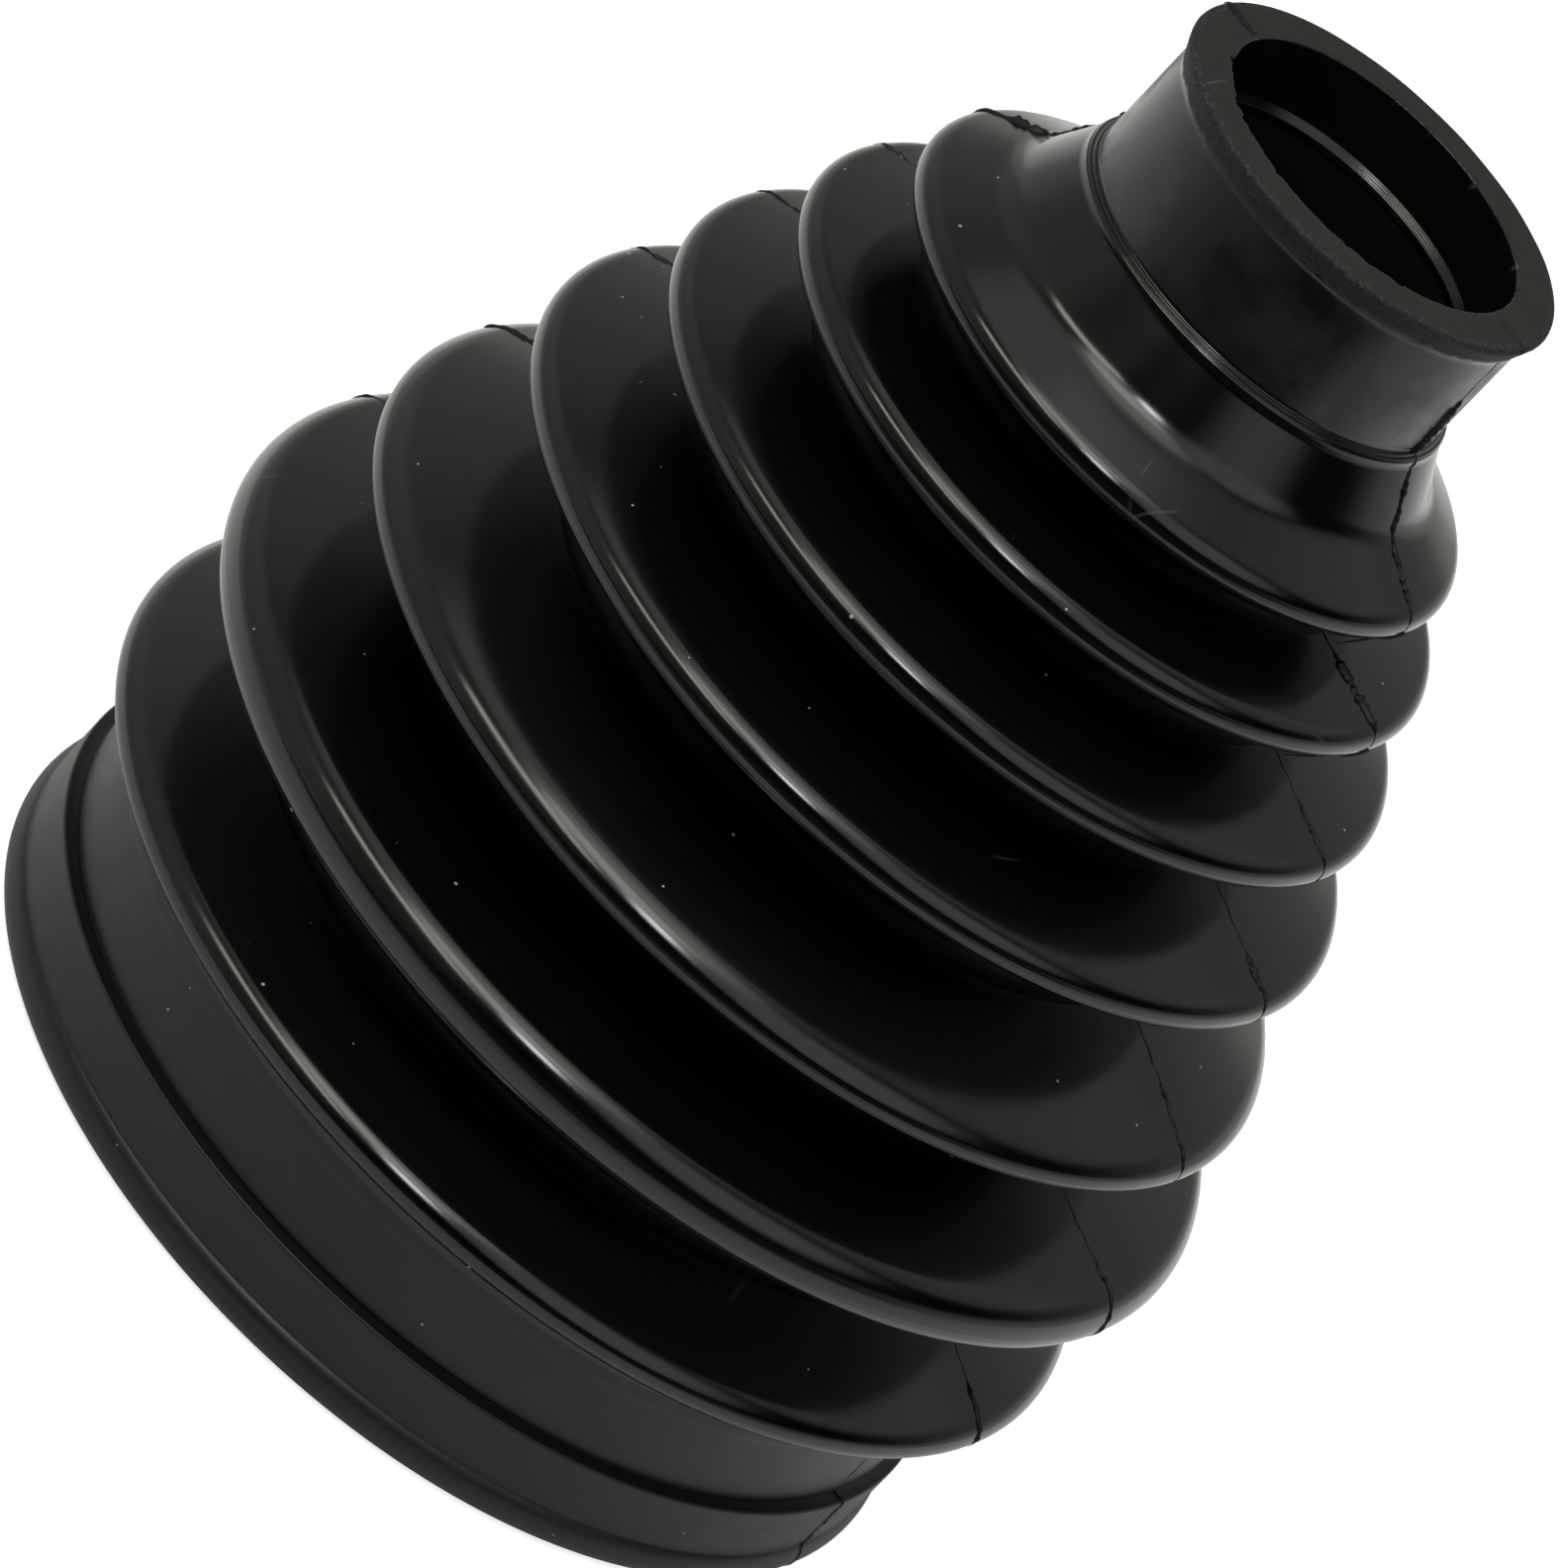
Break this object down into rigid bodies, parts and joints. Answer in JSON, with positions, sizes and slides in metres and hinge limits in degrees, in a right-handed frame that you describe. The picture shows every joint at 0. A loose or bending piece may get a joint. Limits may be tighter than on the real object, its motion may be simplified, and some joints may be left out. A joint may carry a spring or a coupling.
{
  "type": "bellows boot",
  "caption": "Tapered rubber bellows boot with rounded folds, a small collar for a shaft and a large cuff for a joint housing.",
  "frame": {"origin": "middle of the large cuff's flat end face, which the boot stands on", "axes": "+Z along the boot's axis, towards the small collar; the mould's parting line lies at +X and -X"},
  "size_m": [0.0864, 0.0864, 0.1047],
  "materials": {
    "rubber": "satin"
  },
  "bodies": {
    "root": {"boot": "rubber"}
  },
  "joints": []
}
